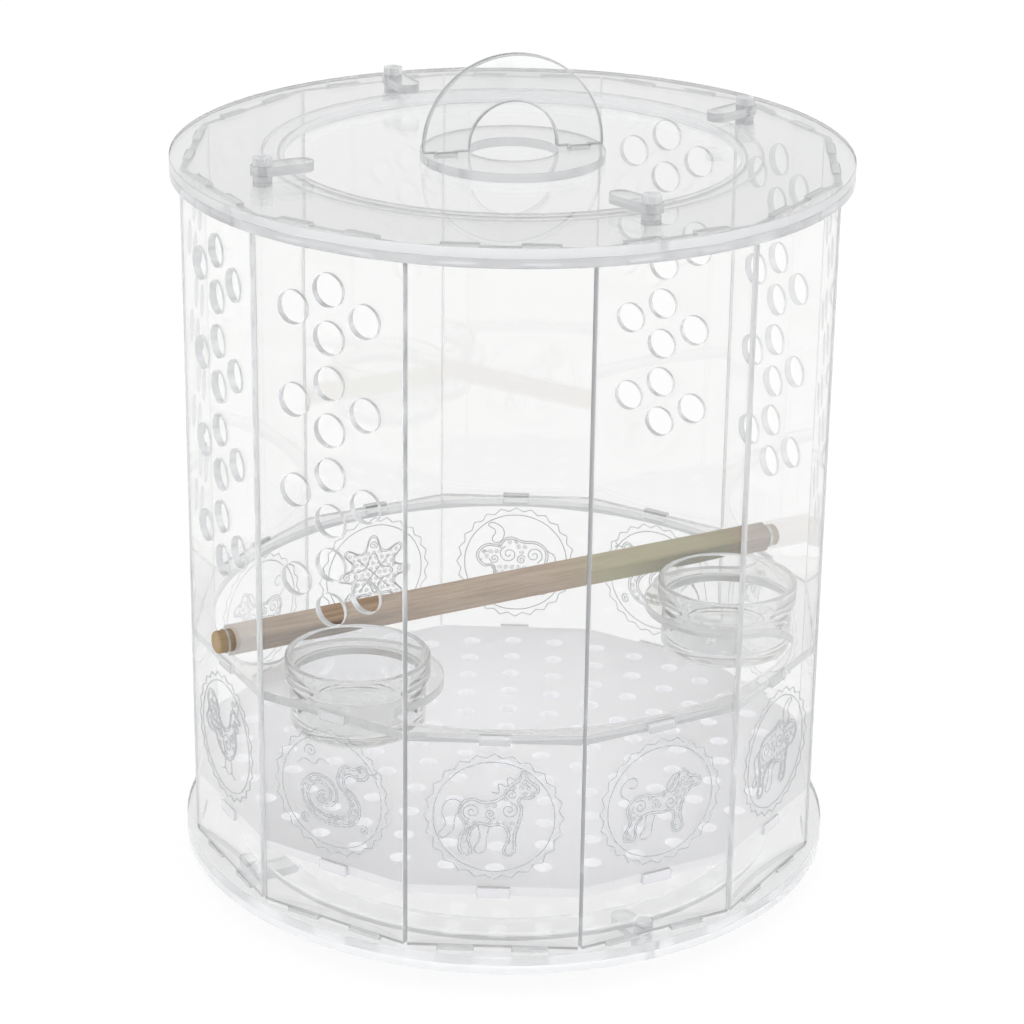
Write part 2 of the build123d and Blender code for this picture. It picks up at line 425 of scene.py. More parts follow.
@dataclass(frozen=True)
class CutLine(Finish):
    """Fine lines cut into the walls."""

    name: str = "cut_line"
    tint: tuple = colour(0.48, 0.50, 0.52)
    roughness: float = 0.28

    def surface(self, shader: Shader, place: Wire) -> dict[str, Any]:
        """Lists what the surface's sockets get.

        Args:
            shader: The material's node tree.
            place: The object coordinates.

        Returns:
            Numbers, colours and wires by the sockets' names.
        """
        mottle = shader.noise(place, 700.0, 3.0)
        return {
            "Base Color": shader.blend(mottle.step(0.45, 0.85), self.tint, colour(0.85, 0.86, 0.87)),
            "Roughness": self.roughness + mottle * 0.2,
            "Normal": shader.bump(mottle, 0.00005, 0.5),
            "Transmission Weight": 0.25,
            "IOR": ACRYLIC_IOR,
        }


@dataclass(frozen=True)
class FrostedAcrylic(Finish):
    """White acrylic with a matt skin, as the floor plate has.

    Args:
        name: Name of the material.
        tint: Its colour.
        thin: Its colour in the paler clouds.
        painted_glow: Strength of the painted glow, an emission that stands in for the light that the sheet
            carries to this surface.
    """

    name: str = "frosted_acrylic"
    tint: tuple = colour(0.95, 0.945, 0.985)
    thin: tuple = colour(0.97, 0.965, 0.99)
    painted_glow: float = 0.0

    def surface(self, shader: Shader, place: Wire) -> dict[str, Any]:
        """Lists what the surface's sockets get.

        Args:
            shader: The material's node tree.
            place: The object coordinates.

        Returns:
            Numbers, colours and wires by the sockets' names.
        """
        cloud = shader.noise(place, 9.0, 3.0)
        grain = shader.noise(place, 1600.0, 2.0)
        return {
            "Base Color": shader.blend(cloud, self.tint, self.thin),
            "Roughness": 0.38 + grain * 0.2,
            "Normal": shader.bump(grain, 0.00003, 0.35),
            "Specular IOR Level": 0.3,
            # Painted glow: an emission that stands in for light carried through the sheet.
            "Emission Color": colour(0.97, 0.97, 1.0),
            "Emission Strength": self.painted_glow,
        }


@dataclass(frozen=True)
class BowlGlass(Finish):
    """Pressed soda glass."""

    name: str = "bowl_glass"
    tint: tuple = colour(0.93, 0.938, 0.934)

    def surface(self, shader: Shader, place: Wire) -> dict[str, Any]:
        """Lists what the surface's sockets get.

        Args:
            shader: The material's node tree.
            place: The object coordinates.

        Returns:
            Numbers, colours and wires by the sockets' names.
        """
        swirl = shader.noise(shader.mapped(place, 0.0, (1.0, 1.0, 3.0)), 60.0, 2.0)
        smear = shader.noise(place, 30.0, 4.0).step(0.5, 0.85)
        return {
            "Base Color": self.tint,
            "Roughness": smear * 0.03,
            "Normal": shader.bump(swirl, 0.0002, 0.2),
            "Transmission Weight": 1.0,
            "IOR": 1.52,
        }


@dataclass(frozen=True)
class PerchWood(Finish):
    """Bare sanded wood with a greenish stain towards one end.

    Args:
        azimuth: Azimuth of the grain in degrees.
    """

    azimuth: float
    name: str = "perch_wood"
    pale: tuple = colour(0.50, 0.375, 0.265)
    dark: tuple = colour(0.33, 0.22, 0.14)
    moss: tuple = colour(0.40, 0.40, 0.20)
    tip: tuple = colour(0.27, 0.195, 0.10)

    def surface(self, shader: Shader, place: Wire) -> dict[str, Any]:
        """Lists what the surface's sockets get.

        Args:
            shader: The material's node tree.
            place: The object coordinates.

        Returns:
            Numbers, colours and wires by the sockets' names.
        """
        along = shader.mapped(place, -self.azimuth)
        length = shader.node("ShaderNodeSeparateXYZ", {}, {"Vector": along}, "X")
        streaks = shader.noise(shader.mapped(place, -self.azimuth, (0.05, 1.0, 1.0)), 420.0, 6.0, 0.65)
        pores = shader.noise(shader.mapped(place, -self.azimuth, (0.08, 1.0, 1.0)), 1500.0, 3.0, 0.6)
        blotch = shader.noise(shader.mapped(place, -self.azimuth, (0.4, 1.0, 1.0)), 38.0, 4.0, 0.6)
        base = shader.blend(streaks.step(0.28, 0.74), self.dark, self.pale)
        mossy = length.step(0.02, 0.07) * (1.0 - length.step(0.125, 0.155)) * blotch.step(0.3, 0.6)
        stained = shader.blend(mossy * 0.75, base, self.moss)
        ends = length.size().step(0.155, 0.163)
        return {
            "Base Color": shader.blend(ends * 0.7, stained, self.tip),
            "Roughness": 0.62 + pores * 0.25,
            "Normal": shader.bump(streaks * 0.6 + pores * 0.4, 0.0004, 0.7),
            "Specular IOR Level": 0.3,
        }


@dataclass
class SheetShop:
    """Cuts flat sheets from drawings, with a fine arris on every edge.

    Args:
        arris: Width of the softened edge in millimetres.
        gap: Hair's breadth left at each face, so that stacked sheets don't share a surface.
        edge: Material of the wall panels' cut edges.
    """

    arris: float = 0.22
    gap: float = 0.03
    edge: bpy.types.Material = field(default_factory=lambda: CutEdge().build())

    def cut(self, name: str, loops: Sequence[Loop], low: float, high: float, stand: Matrix | None = None,
            arris: float | None = None) -> bpy.types.Object:
        """Cuts one sheet.

        Args:
            name: Name of the piece.
            loops: Its outline and its holes in millimetres.
            low: Height of its lower face in millimetres.
            high: Height of its upper face in millimetres.
            stand: Where the drawing's plane stands, if it isn't level.
            arris: Width of the softened edge, if not the shop's own.

        Returns:
            The sheet, with its place in its mesh.
        """
        corners: list[tuple[float, float, float]] = []
        edges: list[tuple[int, int]] = []
        for loop in loops:
            first = len(corners)
            corners += [(x * MM, y * MM, (low + self.gap) * MM) for x, y in loop]
            count = len(loop)
            edges += [(first + i, first + (i + 1) % count) for i in range(count)]
        piece = drawn(name, corners, edges)
        bpy.ops.mesh.fill()
        bpy.ops.mesh.select_all(action="SELECT")
        rise = (high - low - 2 * self.gap) * MM
        bpy.ops.mesh.extrude_region_move(TRANSFORM_OT_translate={"value": (0.0, 0.0, rise)})
        bpy.ops.mesh.select_all(action="SELECT")
        bpy.ops.mesh.normals_make_consistent(inside=False)
        bpy.ops.object.mode_set(mode="OBJECT")
        soften(piece, self.arris if arris is None else arris)
        for face in piece.data.polygons:
            flat = abs(face.normal.z) > FLAT
            face.use_smooth = face.use_smooth and not flat
            face.material_index = 0 if flat else 1
        if stand is not None:
            piece.data.transform(stand)
        return piece

    def level(self, node: str, loops: Sequence[Loop], finish: bpy.types.Material | tuple, body: str,
              slot: Slot = Slot.ACRYLIC, kind: str = "sheet",
              arris: float | None = None) -> bpy.types.Object:
        """Cuts and dresses a level sheet at the height of its node.

        Args:
            node: Node of the solid model that it stands for.
            loops: Its outline and its holes in millimetres.
            finish: Its material, or the material of its faces and those of its cut edges.
            body: The body that it moves with.
            slot: The record's material slot.
            kind: Last word of its name.
            arris: Width of the softened edge, if not the shop's own.

        Returns:
            The sheet.
        """
        low, high = span(node)
        piece = self.cut(f"{node}_{kind}", loops, low, high, arris=arris)
        return dress(piece, finish, body, slot, node)


def drawn(name: str, corners: Sequence[tuple], edges: Sequence[tuple]) -> bpy.types.Object:
    """Makes a piece of bare edges and opens it for editing, with all of them selected.

    Args:
        name: Name of the piece.
        corners: Its points in metres.
        edges: Numbers of the points that each edge joins.

    Returns:
        The piece.
    """
    mesh = bpy.data.meshes.new(name)
    mesh.from_pydata(corners, edges, [])
    piece = bpy.data.objects.new(name, mesh)
    bpy.context.scene.collection.objects.link(piece)
    only(piece)
    bpy.ops.object.mode_set(mode="EDIT")
    bpy.ops.mesh.select_all(action="SELECT")
    return piece


def only(piece: bpy.types.Object) -> None:
    """Selects one piece and nothing else.

    Args:
        piece: The piece.
    """
    bpy.ops.object.select_all(action="DESELECT")
    piece.select_set(True)
    bpy.context.view_layer.objects.active = piece


def soften(piece: bpy.types.Object, width: float, segments: int = 2, sharp: float = 50.0,
           smooth: float = 20.0) -> None:
    """Bevels the sharp edges of a piece and smooths its round faces.

    Args:
        piece: The piece.
        width: Width of the bevel in millimetres.
        segments: Steps across the bevel.
        sharp: Edges sharper than this many degrees are bevelled.
        smooth: Edges flatter than this many degrees are smoothed.
    """
    only(piece)
    bevel = piece.modifiers.new("arris", "BEVEL")
    bevel.width = width * MM
    bevel.segments = segments
    bevel.limit_method = "ANGLE"
    bevel.angle_limit = math.radians(sharp)
    bpy.ops.object.modifier_apply(modifier=bevel.name)
    bpy.ops.object.shade_smooth_by_angle(angle=math.radians(smooth))


def dress(piece: bpy.types.Object, finish: bpy.types.Material | tuple, body: str, slot: Slot,
          *nodes: str) -> bpy.types.Object:
    """Gives a piece its finish and its place in the mechanism.

    Args:
        piece: The piece.
        finish: Its material, or the material of its faces and those of its cut edges.
        body: The body that it moves with.
        slot: The record's material slot; not used.
        nodes: Nodes of the solid model that it stands for.

    Returns:
        The piece.
    """
    finishes = finish if isinstance(finish, tuple) else (finish, finish)
    for made in finishes:
        piece.data.materials.append(made)
    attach(piece, body)
    if nodes:
        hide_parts(*nodes)
    log.info("%s: %d faces, moves with %s", piece.name, len(piece.data.polygons), body)
    return piece


def span(node: str) -> tuple[float, float]:
    """Returns the heights of a node's lowest and highest point, in millimetres."""
    low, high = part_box(node)
    return low[2] / MM, high[2] / MM


@dataclass
class Sizes:
    """Plan dimensions that several sub-assemblies share, in millimetres."""

    plate_radius: float = 175.0
    wall_outer: float = 165.66
    wall_inner: float = 161.66
    wall_tab_width: float = 18.0
    wall_tab_offset: float = 19.0
    clearance: float = 0.15
    wall_play: float = 0.3
    latch_azimuths: tuple = (-150.0, -60.0, 30.0, 120.0)
    top_latch_radius: float = 139.5
    bottom_latch_radius: float = 151.5
    screw_hole: float = 2.06
    head_hole: float = 4.85
    azimuths: list = field(default_factory=lambda: [-90.0 + SIDE_ANGLE * n for n in range(12)])


def inset(loop: Sequence[Point], by: float) -> Loop:
    """Draws a closed line again a little further in.

    Args:
        loop: The line's points.
        by: How much further in.

    Returns:
        The new points.
    """
    following = [*loop[1:], loop[0]]
    area = sum(x0 * y1 - x1 * y0 for (x0, y0), (x1, y1) in zip(loop, following))
    moved: Loop = []
    for before, here, after in zip([loop[-1], *loop[:-1]], loop, following):
        along = Vector((after[0] - before[0], after[1] - before[1])).normalized() * math.copysign(by, area)
        moved.append((here[0] - along.y, here[1] + along.x))
    return moved


class Motif(Enum):
    """Animals of the old twelve-year calendar and a knot, each drawn here as a few free strokes.

    A value holds closed strokes, open strokes and curls. A curl is its place, its size and its turn.
    """

    HORSE = (
        (((18, 11), (19.5, 14), (15, 18.5), (12.5, 22.5), (10.5, 19), (6.5, 15.5), (2.5, 9.5),
          (-4, 7.5), (-10, 9), (-14.5, 6), (-15, 0), (-12.5, -5), (-15, -10), (-14, -18), (-10, -18),
          (-10.5, -10), (-7, -4), (-2, -4.5), (4, -4.5), (6, -9), (4.5, -18), (8.5, -18), (9.5, -9),
          (11.5, -2), (12.5, 4), (11.5, 9), (14.5, 9)),
         ((-14.5, 6.5), (-19, 8), (-22.5, 3), (-21, -4), (-23.5, -10), (-18, -7), (-17, -1))),
        (((-7, -4), (-6, -10), (-8, -17), (-4.5, -17), (-3, -10), (-2, -4.5)),
         ((9.5, 18), (6, 19), (5.5, 15), (2, 16), (2, 12), (-1, 12)),
         ((13, 15.5), (14.2, 16), (14.8, 15))),
        ((-9.5, 2.5, 4.2, 20), (6.5, 3.5, 4.0, 200), (-1.5, 1.5, 2.6, 90), (7.5, 11, 2.4, 300)))
    OX = (
        (((19, 0), (20, 5), (15, 10), (9, 10), (4, 14), (-4, 12), (-12, 11), (-16.5, 6), (-16, -1),
          (-15, -9), (-16, -17), (-11.5, -17), (-10.5, -9), (-6, -5), (2, -6), (6, -9), (5, -17),
          (9.5, -17), (11, -9), (13, -2), (15.5, -2.5)),
         ((9, 11), (6, 16), (8.5, 20.5), (14, 21), (10.5, 17.5), (12, 12))),
        (((-16, 7), (-20.5, 3), (-19, -4), (-21.5, -9), (-18, -10), (-18.5, -5)),
         ((-6, -5), (-6.5, -11), (-8, -17), (-4, -17), (-2.5, -10), (-1, -6)),
         ((14.5, 5.5), (16, 6.2), (17, 5.2)),
         ((17, 1.5), (18.4, 1.2))),
        ((-9.5, 4, 4.6, 10), (3.5, 4.5, 4.8, 190), (-3, 1.5, 2.6, 270), (11, 2, 2.6, 120)))
    RABBIT = (
        (((17.5, 1), (18, 5.5), (14.5, 9), (11, 9), (9, 13), (4, 20.5), (0.5, 21), (2, 15), (4.5, 9.5),
          (1.5, 6), (-6, 8.5), (-13.5, 5.5), (-17.5, -2), (-16, -9), (-13, -13.5), (-3, -14.5),
          (-1.5, -12), (-6, -10.5), (-1, -8), (4, -9), (6, -14.5), (11.5, -14.5), (9.5, -11),
          (11.5, -5), (14, -1.5)),
         ((-17, -4), (-21, -3.5), (-21.5, -8), (-17, -8.5))),
        (((8.5, 9.5), (9.5, 15.5), (7.5, 20.5), (5.5, 18.5)), ((13.2, 5.2), (14.4, 5.8), (15.2, 4.8)),
         ((4, -9), (3, -13), (5.5, -14.5))),
        ((-10, -3.5, 5.6, 30), (5, 1, 4.2, 210), (-3.5, 3, 2.6, 120), (-2, -5, 2.2, 300)))
    ROOSTER = (
        (((16.5, 13), (12.5, 15.5), (9, 17), (6, 14), (4.5, 8), (0, 4), (-6, 6), (-9, 13), (-15, 17.5),
          (-20.5, 13), (-19.5, 7), (-22.5, 1), (-18, -3.5), (-12.5, -3), (-8, -8), (-1, -11), (6, -9),
          (11, -3), (12, 4), (12, 11)),
         ((9, 17), (8, 21), (11, 19.5), (12.5, 22.5), (14.5, 18.5), (12.5, 15.5))),
        (((-1, -11), (-2, -16), (-6, -18)), ((-2, -16), (1.5, -18)), ((5, -9.5), (5.5, -16), (2.5, -18)),
         ((5.5, -16), (9.5, -18)), ((12, 11), (14.5, 8.5), (12.5, 7)), ((-6, 6), (-12, 8), (-15, 13)),
         ((-8, 3), (-14, 3), (-18, 7)), ((-9, 0), (-14, -1), (-19, 2)), ((10, 13.8), (11, 14.2))),
        ((1.5, -3, 5.4, 30), (7, 2, 2.8, 200), (-6, -1, 2.6, 300)))
    DOG = (
        (((20.5, 5), (19.5, 8.5), (15, 10), (12, 13.5), (8.5, 12), (5.5, 6.5), (0, 4), (-9, 5),
          (-14, 4), (-17, -1), (-15.5, -7), (-18, -12.5), (-17, -16), (-12.5, -16), (-11.5, -9.5),
          (-7, -5.5), (1, -6), (6, -6.5), (7, -16), (11.5, -16), (11, -8), (12.5, -1), (15.5, 3)),
         ((8.5, 12), (5, 10), (3.5, 4.5), (6.5, 3.5), (9, 7.5))),
        (((-15.5, 3.5), (-20, 8), (-17.5, 13.5), (-12.5, 13.5), (-13, 9.5), (-16, 10)),
         ((-7, -5.5), (-7.5, -11), (-9.5, -16), (-5.5, -16), (-3.5, -10), (-2.5, -6)),
         ((14.2, 7.8), (15.3, 8.3), (16, 7.5))),
        ((-10, -0.5, 4.2, 15), (5.5, -1.5, 3.6, 195), (-2, -0.5, 2.8, 100)))
    SNAKE = (
        (((12, 15), (17.5, 17), (19.5, 13), (15, 9.5), (9.5, 10.5), (7, 6), (12, 2), (15.5, -4),
          (13, -11.5), (5, -15.5), (-5, -15.5), (-13, -11), (-16.5, -3.5), (-13.5, 4), (-6.5, 7.5),
          (0.5, 5), (3.5, -1), (1, -6), (-4, -7.5), (-7.5, -5), (-6.5, -1), (-3.5, -0.5), (-4.5, -3),
          (-3, -4), (-1, -2), (-2, 1.5), (-6.5, 3), (-11, 0), (-12, -5), (-8.5, -10), (-2, -11.5),
          (5, -10.5), (9.5, -6.5), (8.5, -1), (3.5, 4.5), (3.5, 11), (7, 15)),),
        (((19.3, 14), (22.5, 14.5), (24, 16)), ((22.5, 14.5), (24.3, 13)), ((14.5, 14), (15.7, 14.3)),
         ((-18, 10), (-14, 13), (-9, 11.5), (-6, 15), (-1, 13.5))),
        ((-14, -15.5, 2.6, 60), (17, -14, 2.6, 240), (-11, 17.5, 3.4, 330)))
    KNOT = (
        (((0, 21), (6, 12), (16, 14), (12, 5), (20, 0), (12, -5), (16, -14), (6, -12), (0, -21), (-6, -12),
          (-16, -14), (-12, -5), (-20, 0), (-12, 5), (-16, 14), (-6, 12)),
         ((0, 11), (4, 4), (11, 0), (4, -4), (0, -11), (-4, -4), (-11, 0), (-4, 4))),
        (((-9, 9), (9, -9)), ((-9, -9), (9, 9))),
        ((0, 15.5, 2.4, 0), (0, -15.5, 2.4, 180), (15, 0, 2.4, 270), (-15, 0, 2.4, 90)))


@dataclass
class Medallions:
    """The round line drawings cut in the walls below the shelf."""

    sizes: Sizes
    height: float = 96.0
    star_radius: float = 35.0
    star_depth: float = 2.3
    star_points: int = 24
    ring_radius: float = 30.3
    line: float = 0.29
    inner_line: float = 1.1
    scale: float = 1.15
    fill_reach: int = 8
    fill_pitch: float = 3.3
    fill_rows: float = 0.87
    fill_margin: float = 1.5
    fill_room: float = 1.0
    fill_size: float = 1.3
    fill_turns: tuple = (97.0, 41.0)
    fill_weight: float = 0.6
    curl_steps: int = 13
    curl_turn: float = 46.0
    curl_start: float = 0.12
    flatness: float = 0.45
    proud: float = 0.17
    drawings: tuple = (Motif.HORSE, Motif.DOG, Motif.OX, Motif.ROOSTER, Motif.RABBIT, Motif.SNAKE, Motif.OX,
                       Motif.KNOT, Motif.DOG, Motif.HORSE, Motif.ROOSTER, Motif.SNAKE)

    def build(self) -> None:
        """Builds and dresses the medallion of every panel."""
        finish = CutLine().build()
        for number, (azimuth, motif) in enumerate(zip(self.sizes.azimuths, self.drawings), start=1):
            piece = self.medallion(f"medallion_{number:02d}", motif, azimuth)
            dress(piece, finish, Body.CAGE, Slot.ACRYLIC)

    def star(self) -> Loop:
        """Draws the zigzag line round the figure.

        Returns:
            The line's points.
        """
        loop = []
        for step in range(2 * self.star_points):
            radius = self.star_radius - (self.star_depth if step % 2 else 0.0)
            loop.append(polar(radius, 90 + 180 * step / self.star_points))
        return loop

    def curl(self, x: float, y: float, size: float, turn: float) -> Loop:
        """Draws a spiral that runs outwards from its middle.

        Args:
            x: Place of its middle across the panel.
            y: Place of its middle up the panel.
            size: Its outer radius.
            turn: Azimuth of its first point.

        Returns:
            The points.
        """
        points = []
        for step in range(self.curl_steps + 1):
            share = self.curl_start + (1 - self.curl_start) * step / self.curl_steps
            px, py = polar(size * share, turn + self.curl_turn * step)
            points.append((x + px, y + py))
        return points

    def filling(self, loop: Sequence[Point], curls: Sequence[tuple]) -> list[tuple]:
        """Finds room for small curls that fill a figure between its own curls.

        Args:
            loop: The figure's outline.
            curls: Its own curls.

        Returns:
            The place, size and turn of every small curl.
        """
        sides = list(zip(loop, [*loop[1:], loop[0]]))
        spots = [*loop, *(((x0 + x1) / 2, (y0 + y1) / 2) for (x0, y0), (x1, y1) in sides)]
        found = []
        for row, column in product(range(-self.fill_reach, self.fill_reach + 1), repeat=2):
            x, y = (column + 0.5 * (row % 2)) * self.fill_pitch, row * self.fill_pitch * self.fill_rows
            inside = sum((y0 > y) != (y1 > y) and x < x0 + (y - y0) * (x1 - x0) / (y1 - y0)
                         for (x0, y0), (x1, y1) in sides) % 2
            room = min(math.dist((x, y), spot) for spot in spots)
            free = all(math.dist((x, y), (cx, cy)) > size + self.fill_room for cx, cy, size, _ in curls)
            if inside and room > self.fill_margin and free:
                turn = self.fill_turns[0] * row + self.fill_turns[1] * column
                found.append((x, y, self.fill_size, turn))
        return found

    def medallion(self, name: str, motif: Motif, azimuth: float) -> bpy.types.Object:
        """Draws one medallion as fine raised lines and lays it on its panel.

        Args:
            name: Name of the piece.
            motif: What it shows.
            azimuth: Azimuth of the panel's outward normal.

        Returns:
            The medallion as a mesh.
        """
        closed, free, curls = motif.value
        curve = bpy.data.curves.new(name, "CURVE")
        curve.dimensions = "3D"
        curve.bevel_depth = self.line * MM
        curve.bevel_resolution = 1
        curve.use_fill_caps = True
        curve.resolution_u = 5
        self.stroke(curve, self.star(), True, "VECTOR")
        self.stroke(curve, circle(self.ring_radius, steps=16), True)
        lines = [(loop, True, 1.0) for loop in (*closed, inset(closed[0], self.inner_line))]
        lines += [(loop, False, 1.0) for loop in (*free, *(self.curl(*curl) for curl in curls))]
        lines += [(self.curl(*curl), False, self.fill_weight) for curl in self.filling(closed[0], curls)]
        for loop, joined, weight in lines:
            self.stroke(curve, [(x * self.scale, y * self.scale) for x, y in loop], joined, weight=weight)
        piece = bpy.data.objects.new(name, curve)
        bpy.context.scene.collection.objects.link(piece)
        only(piece)
        bpy.ops.object.convert(target="MESH")
        piece = bpy.context.object
        flat = Matrix.Diagonal((1.0, 1.0, self.flatness, 1.0))
        place = Matrix.Translation((0.0, self.height * MM, (self.sizes.wall_outer + self.proud) * MM))
        piece.data.transform(upright(azimuth) @ place @ flat)
        return piece

    def stroke(self, curve: bpy.types.Curve, loop: Sequence[Point], closed: bool, handles: str = "AUTO",
               weight: float = 1.0) -> None:
        """Adds one line to a drawing.

        Args:
            curve: The drawing.
            loop: Points of the line in millimetres.
            closed: Whether it runs back to its start.
            handles: Kind of the points' handles.
            weight: Its thickness as a share of the usual one.
        """
        spline = curve.splines.new("BEZIER")
        spline.bezier_points.add(len(loop) - 1)
        for point, (x, y) in zip(spline.bezier_points, loop):
            point.co = (x * MM, y * MM, 0.0)
            point.handle_left_type = handles
            point.handle_right_type = handles
            point.radius = weight
        spline.use_cyclic_u = closed


@dataclass
class Walls:
    """The twelve wall panels."""

    shop: SheetShop
    sizes: Sizes
    vent_radius: float = 8.5
    vent_rows: int = 4
    vent_pitch: float = 47.0
    vent_top: float = 349.0
    vent_up: float = 12.0
    vent_side: float = 20.7
    vented: tuple = (-120.0, -150.0, 180.0, 60.0, 30.0, 0.0)
    shelf_slot: tuple = (15.3, 135.05, 140.35)
    floor_slot: tuple = (16.3, 50.35, 55.65)
    perch_ends: tuple = (30.0, -150.0)
    perch_hole: float = 6.4
    perch_height: float = 150.8
    tab_length: float = 5.0
    seam: float = 0.1

    def build(self) -> None:
        """Builds and dresses every panel."""
        for number, azimuth in enumerate(self.sizes.azimuths, start=1):
            self.panel(number, azimuth)

    def outline(self) -> Loop:
        """Draws a panel with its tabs, X across and Y up.

        Returns:
            The outline.
        """
        wall_low, wall_high = span("bottom_slot_ring")[1], span("top_slot_ring")[0]
        tab = self.tab_length - self.shop.gap
        half = self.sizes.wall_inner * math.tan(math.radians(SIDE_ANGLE / 2)) - self.seam
        near = self.sizes.wall_tab_offset - self.sizes.wall_tab_width / 2
        far = self.sizes.wall_tab_offset + self.sizes.wall_tab_width / 2
        low, high = wall_low + self.shop.gap, wall_high - self.shop.gap
        foot = [(-half, low), (-far, low), (-far, low - tab), (-near, low - tab), (-near, low),
                (near, low), (near, low - tab), (far, low - tab), (far, low), (half, low)]
        return foot + [(x, high + (tab if y < low else 0.0)) for x, y in reversed(foot)]

    def panel(self, number: int, azimuth: float) -> None:
        """Builds one panel.

        Args:
            number: Number in the node's name.
            azimuth: Azimuth of its outward normal in degrees.
        """
        loops = [self.outline()]
        for width, low, high in (self.shelf_slot, self.floor_slot):
            loops.append(rectangle(width, high - low, (0.0, (low + high) / 2)))
        if among(azimuth, self.vented):
            for row in range(self.vent_rows):
                height = self.vent_top - row * self.vent_pitch
                spots = ((0, self.vent_up), (0, -self.vent_up), (self.vent_side, 0), (-self.vent_side, 0))
                loops += [circle(self.vent_radius, (x, height + y)) for x, y in spots]
        if among(azimuth, self.perch_ends):
            loops.append(circle(self.perch_hole, (0.0, self.perch_height), 32))
        piece = self.shop.cut(f"wall_panel_{number:02d}_sheet", loops, self.sizes.wall_inner,
                              self.sizes.wall_outer, upright(azimuth))
        finish = (SheetAcrylic(f"wall_acrylic_{number:02d}", azimuth, gloss=1.0).build(), self.shop.edge)
        dress(piece, finish, Body.CAGE, Slot.ACRYLIC, f"wall_panel_{number:02d}")


@dataclass
class Plates:
    """The four round plates and the bottom cover."""

    shop: SheetShop
    sizes: Sizes
    openings: dict = field(default_factory=lambda: {"top_slot_ring": 120.0, "top_cover_ring": 128.2,
                                                    "bottom_slot_ring": 133.0, "bottom_cover_ring": 145.0})
    cover_radius: float = 144.4
    inner_zone: float = 150.0

    def build(self) -> None:
        """Builds and dresses the plates."""
        # Outer cut edges are grey, partly painted shade; edges round the openings are paler and glowing,
        # painted light.
        top = (SheetAcrylic("top_acrylic", face_tint=LEVEL_FACE).build(),
               CutEdge("top_edge", GREY_EDGE, PALE_EDGE, clear=0.72, painted_glow=0.0).build(),
               CutEdge("top_opening_edge", PALE_EDGE, WHITE_EDGE, clear=0.75, painted_glow=0.06).build())
        # Painted light on the base: its faces are clearer than the other sheets' and its opening edges glow
        # most.
        base = (SheetAcrylic("base_acrylic", face_tint=colour(0.996, 0.997, 0.998)).build(),
                CutEdge("base_edge", GREY_EDGE, PALE_EDGE, clear=0.62, painted_glow=0.02).build(),
                CutEdge("base_opening_edge", PALE_EDGE, WHITE_EDGE, clear=0.6, painted_glow=0.31).build())
        for node, opening in self.openings.items():
            finish = top if "top" in node else base
            loops = [circle(self.sizes.plate_radius, steps=360), circle(opening, steps=288)]
            screw_circle = self.sizes.top_latch_radius if "top" in node else self.sizes.bottom_latch_radius
            hole = self.sizes.head_hole if "slot" in node else self.sizes.screw_hole
            for azimuth in self.sizes.latch_azimuths:
                loops.append(circle(hole, polar(screw_circle, azimuth), 24))
            if "slot" in node:
                loops += self.slots()
            self.paint_light_on_openings(self.shop.level(node, loops, finish, Body.CAGE))
        loops = [circle(self.cover_radius, steps=288)]
        self.paint_light_on_openings(self.shop.level("bottom_cover", loops, base, Body.TRAY))

    def paint_light_on_openings(self, plate: bpy.types.Object) -> None:
        """Gives the cut edges round the openings a paler copy of the edge finish with more painted glow:
        painted light.

        Args:
            plate: The plate, dressed with three finishes.
        """
        for face in plate.data.polygons:
            if face.material_index and face.center.xy.length / MM < self.inner_zone:
                face.material_index = 2

    def slots(self) -> list[Loop]:
        """Draws the slots for the panels' tabs.

        Returns:
            The outline of each slot.
        """
        middle = -(self.sizes.wall_inner + self.sizes.wall_outer) / 2
        width = self.sizes.wall_tab_width + 2 * self.sizes.clearance
        depth = self.sizes.wall_outer - self.sizes.wall_inner + 2 * self.sizes.clearance
        loops = []
        for azimuth in self.sizes.azimuths:
            for side in (-1, 1):
                slot = rectangle(width, depth, (side * self.sizes.wall_tab_offset, middle))
                loops.append(turned(slot, azimuth + 90))
        return loops


def tabbed_polygon(sizes: Sizes, tab_width: float) -> Loop:
    """Twelve-sided outline inside the walls with a tab out through each.

    Args:
        sizes: The shared sizes.
        tab_width: Width of a tab.

    Returns:
        The outline.
    """
    inside = sizes.wall_inner - sizes.wall_play
    half = inside * math.tan(math.radians(SIDE_ANGLE / 2))
    loop: Loop = []
    for azimuth in sizes.azimuths:
        side = [(-half, -inside), (-tab_width / 2, -inside), (-tab_width / 2, -sizes.wall_outer),
                (tab_width / 2, -sizes.wall_outer), (tab_width / 2, -inside)]
        loop += turned(side, azimuth + 90)
    return loop


